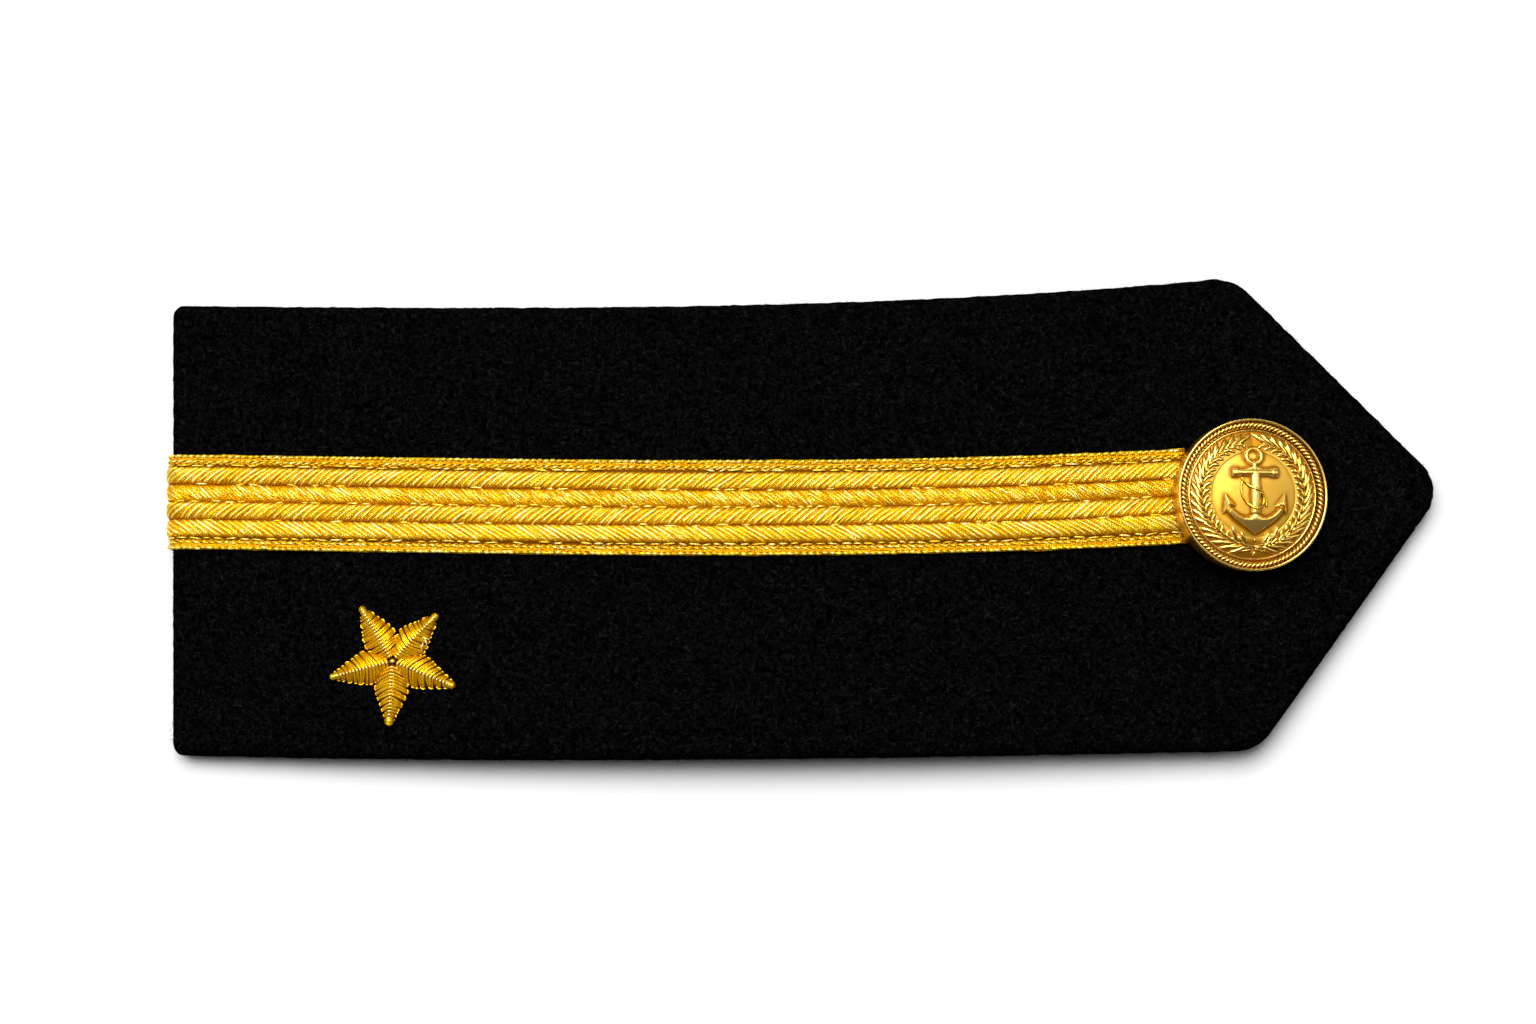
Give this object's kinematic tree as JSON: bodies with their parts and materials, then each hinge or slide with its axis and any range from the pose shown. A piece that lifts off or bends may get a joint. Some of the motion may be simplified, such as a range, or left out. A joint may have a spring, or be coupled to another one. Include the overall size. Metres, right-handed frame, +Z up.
{
  "type": "shoulder board",
  "caption": "Stiff black wool-covered shoulder board with a gold lace stripe, an embroidered star and a gilt anchor button.",
  "frame": {"origin": "middle of the whole part's box, at its base on the table", "axes": "+X along the length towards the pointed end, +Z up out of the cloth face"},
  "size_m": [0.1602, 0.0606, 0.0112],
  "materials": {
    "wool": "black melton wool with a short raised nap",
    "lace": "gold metal thread lace with four ribs and beaded selvages",
    "bullion": "gold bullion wire embroidery over padding",
    "gilt": "gilt die-struck sheet brass, satin field and polished rim",
    "gilt_back": "plain gilt sheet brass",
    "stud_brass": "plain turned brass"
  },
  "bodies": {
    "root": {"board": "wool", "lace_stripe": "lace", "star": "bullion", "button_shell": "gilt", "button_back": "gilt_back", "button_stud": "stud_brass"}
  },
  "joints": []
}
